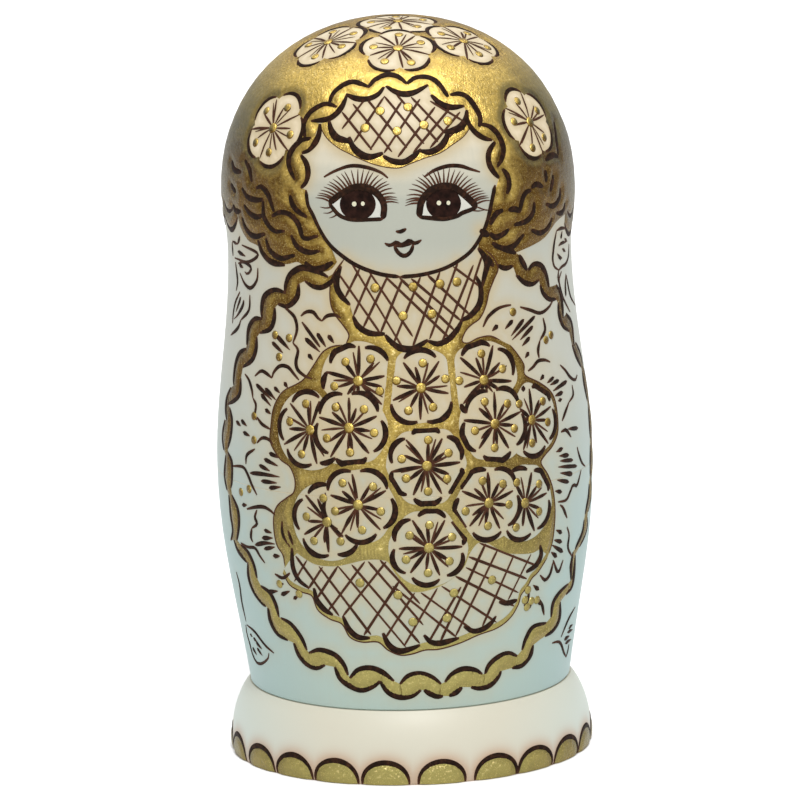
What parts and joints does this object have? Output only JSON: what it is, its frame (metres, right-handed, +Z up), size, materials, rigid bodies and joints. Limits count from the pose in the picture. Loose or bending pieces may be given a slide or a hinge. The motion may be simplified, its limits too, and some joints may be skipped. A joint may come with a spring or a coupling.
{
  "type": "matryoshka nesting doll",
  "caption": "Turned wooden nesting doll on a flared pedestal; each hollow doll parts at the belly on a lip and holds a smaller one, down to a solid innermost doll.",
  "frame": {"origin": "centre of the pedestal's underside", "axes": "+Z up along the turning axis; the painted face looks along -Y; +X is to the right of someone who looks at the face"},
  "size_m": [0.1226, 0.1226, 0.24],
  "materials": {
    "bleached_basswood": "bleached, burnt-line drawn and lacquered",
    "pedestal_wood": "bleached and lacquered",
    "gold_paint": "brushed-on metallic paint",
    "burnt_line": "burnt into the wood"
  },
  "bodies": {
    "outer_bottom": {"outer_bottom_half": "bleached_basswood", "pedestal": "pedestal_wood"},
    "outer_top": {"outer_top_half": "bleached_basswood"},
    "second_bottom": {"second_bottom_half": "bleached_basswood"},
    "second_top": {"second_top_half": "bleached_basswood"},
    "third_bottom": {"third_bottom_half": "bleached_basswood"},
    "third_top": {"third_top_half": "bleached_basswood"},
    "fourth_bottom": {"fourth_bottom_half": "bleached_basswood"},
    "fourth_top": {"fourth_top_half": "bleached_basswood"},
    "fifth_bottom": {"fifth_bottom_half": "bleached_basswood"},
    "fifth_top": {"fifth_top_half": "bleached_basswood"},
    "sixth_bottom": {"sixth_bottom_half": "bleached_basswood"},
    "sixth_top": {"sixth_top_half": "bleached_basswood"},
    "seventh_bottom": {"seventh_bottom_half": "bleached_basswood"},
    "seventh_top": {"seventh_top_half": "bleached_basswood"},
    "eighth_bottom": {"eighth_bottom_half": "bleached_basswood"},
    "eighth_top": {"eighth_top_half": "bleached_basswood"},
    "ninth_bottom": {"ninth_bottom_half": "bleached_basswood"},
    "ninth_top": {"ninth_top_half": "bleached_basswood"},
    "tenth": {"tenth_doll": "bleached_basswood"}
  },
  "joints": [
    {"name": "outer_top_lift", "type": "slide", "parent": "outer_bottom", "child": "outer_top", "axis": [0, 0, 1], "range_m": [0, 1.176]},
    {"name": "second_bottom_lift", "type": "slide", "parent": "outer_bottom", "child": "second_bottom", "axis": [0, 0, 1], "range_m": [0, 0.0897]},
    {"name": "second_top_lift", "type": "slide", "parent": "second_bottom", "child": "second_top", "axis": [0, 0, 1], "range_m": [0, 0.9545]},
    {"name": "third_bottom_lift", "type": "slide", "parent": "second_bottom", "child": "third_bottom", "axis": [0, 0, 1], "range_m": [0, 0.079]},
    {"name": "third_top_lift", "type": "slide", "parent": "third_bottom", "child": "third_top", "axis": [0, 0, 1], "range_m": [0, 0.7617]},
    {"name": "fourth_bottom_lift", "type": "slide", "parent": "third_bottom", "child": "fourth_bottom", "axis": [0, 0, 1], "range_m": [0, 0.0693]},
    {"name": "fourth_top_lift", "type": "slide", "parent": "fourth_bottom", "child": "fourth_top", "axis": [0, 0, 1], "range_m": [0, 0.5944]},
    {"name": "fifth_bottom_lift", "type": "slide", "parent": "fourth_bottom", "child": "fifth_bottom", "axis": [0, 0, 1], "range_m": [0, 0.0607]},
    {"name": "fifth_top_lift", "type": "slide", "parent": "fifth_bottom", "child": "fifth_top", "axis": [0, 0, 1], "range_m": [0, 0.4501]},
    {"name": "sixth_bottom_lift", "type": "slide", "parent": "fifth_bottom", "child": "sixth_bottom", "axis": [0, 0, 1], "range_m": [0, 0.0529]},
    {"name": "sixth_top_lift", "type": "slide", "parent": "sixth_bottom", "child": "sixth_top", "axis": [0, 0, 1], "range_m": [0, 0.3264]},
    {"name": "seventh_bottom_lift", "type": "slide", "parent": "sixth_bottom", "child": "seventh_bottom", "axis": [0, 0, 1], "range_m": [0, 0.0459]},
    {"name": "seventh_top_lift", "type": "slide", "parent": "seventh_bottom", "child": "seventh_top", "axis": [0, 0, 1], "range_m": [0, 0.2213]},
    {"name": "eighth_bottom_lift", "type": "slide", "parent": "seventh_bottom", "child": "eighth_bottom", "axis": [0, 0, 1], "range_m": [0, 0.0395]},
    {"name": "eighth_top_lift", "type": "slide", "parent": "eighth_bottom", "child": "eighth_top", "axis": [0, 0, 1], "range_m": [0, 0.133]},
    {"name": "ninth_bottom_lift", "type": "slide", "parent": "eighth_bottom", "child": "ninth_bottom", "axis": [0, 0, 1], "range_m": [0, 0.0339]},
    {"name": "ninth_top_lift", "type": "slide", "parent": "ninth_bottom", "child": "ninth_top", "axis": [0, 0, 1], "range_m": [0, 0.0598]},
    {"name": "tenth_lift", "type": "slide", "parent": "ninth_bottom", "child": "tenth", "axis": [0, 0, 1], "range_m": [0, 0.0287]}
  ],
  "couplings": [
    {"joint": "second_bottom_lift", "follows": "outer_top_lift", "ratio": 0.07611},
    {"joint": "second_top_lift", "follows": "outer_top_lift", "ratio": 0.81156},
    {"joint": "third_bottom_lift", "follows": "outer_top_lift", "ratio": 0.06701},
    {"joint": "third_top_lift", "follows": "outer_top_lift", "ratio": 0.64758},
    {"joint": "fourth_bottom_lift", "follows": "outer_top_lift", "ratio": 0.05883},
    {"joint": "fourth_top_lift", "follows": "outer_top_lift", "ratio": 0.5053},
    {"joint": "fifth_bottom_lift", "follows": "outer_top_lift", "ratio": 0.05146},
    {"joint": "fifth_top_lift", "follows": "outer_top_lift", "ratio": 0.38257},
    {"joint": "sixth_bottom_lift", "follows": "outer_top_lift", "ratio": 0.04483},
    {"joint": "sixth_top_lift", "follows": "outer_top_lift", "ratio": 0.27741},
    {"joint": "seventh_bottom_lift", "follows": "outer_top_lift", "ratio": 0.03887},
    {"joint": "seventh_top_lift", "follows": "outer_top_lift", "ratio": 0.18809},
    {"joint": "eighth_bottom_lift", "follows": "outer_top_lift", "ratio": 0.0335},
    {"joint": "eighth_top_lift", "follows": "outer_top_lift", "ratio": 0.113},
    {"joint": "ninth_bottom_lift", "follows": "outer_top_lift", "ratio": 0.02866},
    {"joint": "ninth_top_lift", "follows": "outer_top_lift", "ratio": 0.05073},
    {"joint": "tenth_lift", "follows": "outer_top_lift", "ratio": 0.02431}
  ]
}
